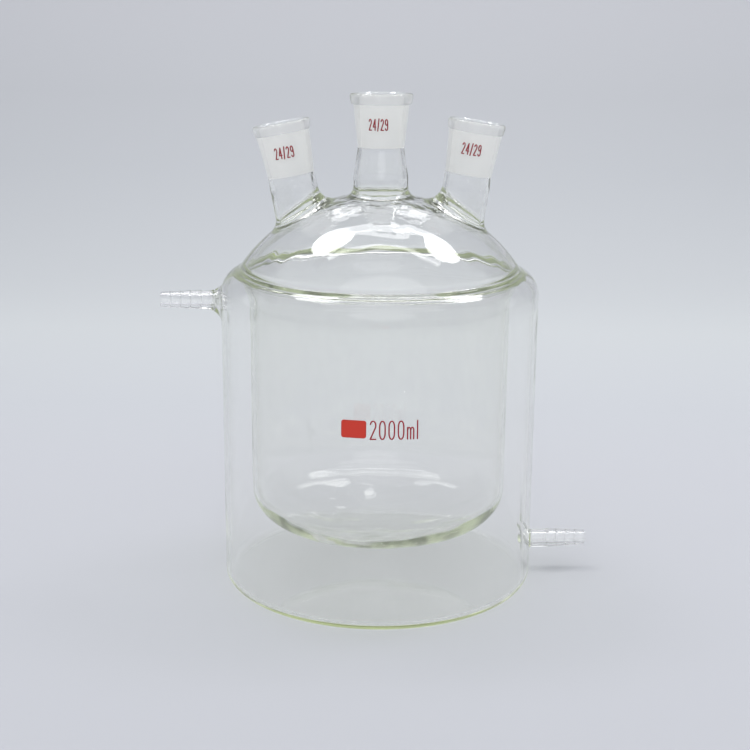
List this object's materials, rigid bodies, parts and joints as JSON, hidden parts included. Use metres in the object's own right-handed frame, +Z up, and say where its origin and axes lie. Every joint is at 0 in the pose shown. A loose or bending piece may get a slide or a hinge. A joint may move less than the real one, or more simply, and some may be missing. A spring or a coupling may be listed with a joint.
{
  "type": "jacketed three neck flask",
  "caption": "Flat-bottomed jacketed glass reaction flask with a domed top, upright tapered ground sockets in a row and ridged hose barbs for coolant.",
  "frame": {"origin": "centre of the flat foot, on the axis of the vessel", "axes": "+Z up along the centre neck; +X towards the lower hose barb and -X towards the upper one; the three necks stand in the XZ plane; the mark faces -Y"},
  "size_m": [0.2369, 0.1708, 0.2662],
  "materials": {
    "glass": "gloss",
    "enamel": "gloss"
  },
  "bodies": {
    "root": {"flask": "glass", "capacity_mark": "enamel"}
  },
  "joints": []
}
